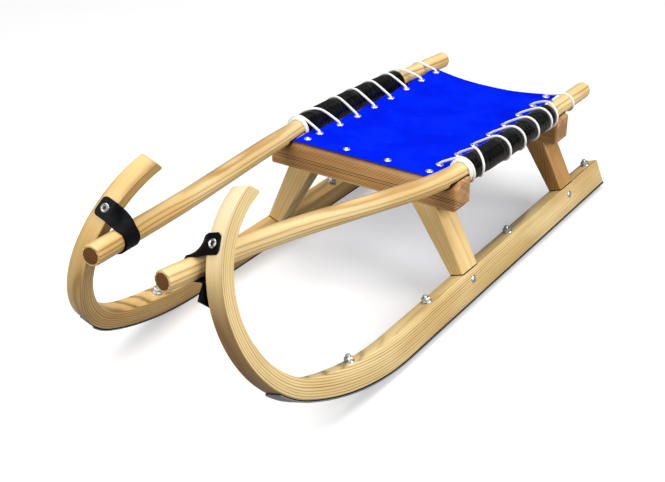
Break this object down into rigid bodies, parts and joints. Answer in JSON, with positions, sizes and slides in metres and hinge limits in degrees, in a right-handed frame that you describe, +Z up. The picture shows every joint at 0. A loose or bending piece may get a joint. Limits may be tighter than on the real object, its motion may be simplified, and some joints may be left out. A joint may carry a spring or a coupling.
{
  "type": "luge sled",
  "caption": "Wooden sports sled: two laminated ash runners bent up into round horns, two crossbeams on slanted legs, bowed side rails and a laced blue fabric seat",
  "frame": {"origin": "middle of the sled's box on the ground, under the seat's front half", "axes": "+X forward to the horns, +Y to the left, +Z up"},
  "size_m": [1.1542, 0.437, 0.37],
  "materials": {
    "runner_ash": "clear varnish, satin, laminated ash with fine growth lines",
    "rail_ash": "clear varnish, semi-gloss, round ash poles",
    "leg_ash": "clear varnish, satin, upright grain",
    "beam_ash": "clear varnish, satin, browner face with arched grain",
    "steel": "plain ground steel, dull",
    "zinc": "zinc-plated, slightly dull",
    "grommet_metal": "nickel-plated, pressed",
    "black_rubber": "matte black",
    "sleeve_rubber": "black, semi-gloss, finely wrinkled across",
    "white_cord": "white braided cord",
    "strap_leather": "black leather, slight sheen",
    "seat_fabric": "royal-blue coated tarpaulin, satin"
  },
  "bodies": {
    "root": {"runner_left": "runner_ash", "runner_right": "runner_ash", "runner_liner_left": "black_rubber", "runner_liner_right": "black_rubber", "steel_rail_left": "steel", "steel_rail_right": "steel", "side_rail_left": "rail_ash", "side_rail_right": "rail_ash", "leg_front_left": "leg_ash", "leg_front_right": "leg_ash", "leg_rear_left": "leg_ash", "leg_rear_right": "leg_ash", "leg_gasket_front_left": "black_rubber", "leg_gasket_front_right": "black_rubber", "leg_gasket_rear_left": "black_rubber", "leg_gasket_rear_right": "black_rubber", "rail_pad_front_left": "black_rubber", "rail_pad_front_right": "black_rubber", "rail_pad_rear_left": "black_rubber", "rail_pad_rear_right": "black_rubber", "sleeve_left": "sleeve_rubber", "sleeve_right": "sleeve_rubber", "grommets_left": "grommet_metal", "grommets_right": "grommet_metal", "lacing_left": "white_cord", "lacing_right": "white_cord", "runner_nuts_left": "zinc", "runner_nuts_right": "zinc", "leg_bolts_left": "zinc", "leg_bolts_right": "zinc", "strap_left": "strap_leather", "strap_right": "strap_leather", "strap_screw_left": "zinc", "strap_screw_right": "zinc", "crossbeam_front": "beam_ash", "crossbeam_rear": "beam_ash", "seat_sheet": "seat_fabric", "seat_rivets": "zinc"}
  },
  "joints": []
}
